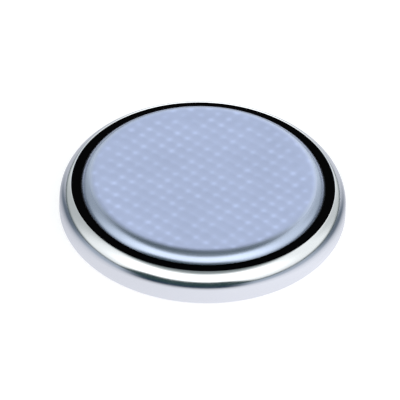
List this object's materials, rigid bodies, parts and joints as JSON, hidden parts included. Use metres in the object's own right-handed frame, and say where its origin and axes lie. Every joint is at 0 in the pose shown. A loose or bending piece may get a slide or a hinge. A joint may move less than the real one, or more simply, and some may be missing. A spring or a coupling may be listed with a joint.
{
  "type": "lithium coin cell",
  "caption": "Round flat lithium button cell: a drawn steel can crimped over a black gasket and an embossed steel cap, with its electrodes sealed inside.",
  "frame": {"origin": "centre of the positive face, the flat base that the cell rests on", "axes": "+Z along the cell's axis, out of the negative face; X and Y are free, as every piece is turned about Z"},
  "size_m": [0.02, 0.02, 0.0032],
  "materials": {
    "can_steel": "bright drawn stainless steel, polished by the drawing die",
    "gasket_plastic": "satin black moulded polypropylene",
    "cap_steel": "matt stainless steel, embossed with a fine diagonal lattice",
    "lithium_metal": "dull rolled foil",
    "separator_cloth": "non-woven polypropylene",
    "cathode_mass": "pressed powder, matt",
    "ring_steel": "plain stainless strip"
  },
  "bodies": {
    "root": {"positive_can": "can_steel", "sealing_gasket": "gasket_plastic", "negative_cap": "cap_steel", "lithium_anode": "lithium_metal", "separator": "separator_cloth", "cathode_pellet": "cathode_mass", "cathode_ring": "ring_steel"}
  },
  "joints": []
}
